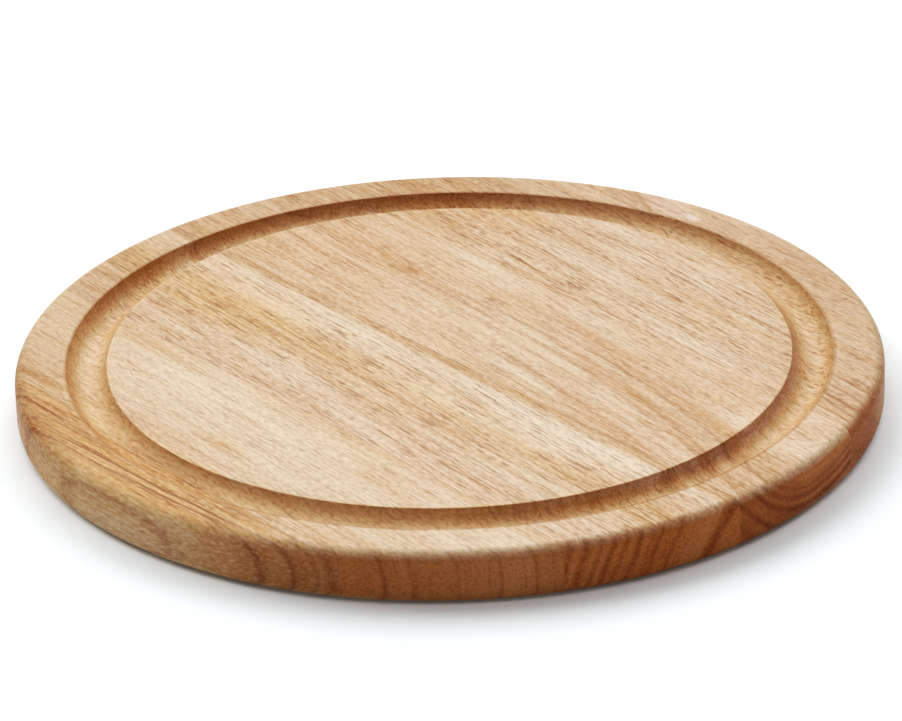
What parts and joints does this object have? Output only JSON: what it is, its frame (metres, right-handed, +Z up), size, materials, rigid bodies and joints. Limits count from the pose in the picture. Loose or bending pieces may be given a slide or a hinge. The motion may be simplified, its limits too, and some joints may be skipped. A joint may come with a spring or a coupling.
{
  "type": "pizza board",
  "caption": "Round pale hardwood pizza and serving board, edge-glued from parallel staves, with rounded edges and a routed juice groove near the rim.",
  "frame": {"origin": "centre of the underside, where the board rests on a table", "axes": "+Z up through the centre of the disc; +X along the grain and the glue lines; +Y across the staves towards stave_1"},
  "size_m": [0.32, 0.32, 0.02],
  "materials": {
    "stave_1_wood": "sanded rubberwood with a thin satin oil finish, smooth pinkish tan",
    "stave_2_wood": "sanded rubberwood with a thin satin oil finish, tan with many fine pores",
    "stave_3_wood": "sanded rubberwood with a thin satin oil finish, flat-sawn figure",
    "stave_4_wood": "sanded rubberwood with a thin satin oil finish, pale to golden bands",
    "stave_5_wood": "sanded rubberwood with a thin satin oil finish, palest cream",
    "stave_6_wood": "sanded rubberwood with a thin satin oil finish, golden orange with dark lines",
    "glue": "cured wood glue, hairline, sanded flush"
  },
  "bodies": {
    "root": {"stave_1": "stave_1_wood", "stave_2": "stave_2_wood", "stave_3": "stave_3_wood", "stave_4": "stave_4_wood", "stave_5": "stave_5_wood", "stave_6": "stave_6_wood", "glue_line_1_2": "glue", "glue_line_2_3": "glue", "glue_line_3_4": "glue", "glue_line_4_5": "glue", "glue_line_5_6": "glue"}
  },
  "joints": []
}
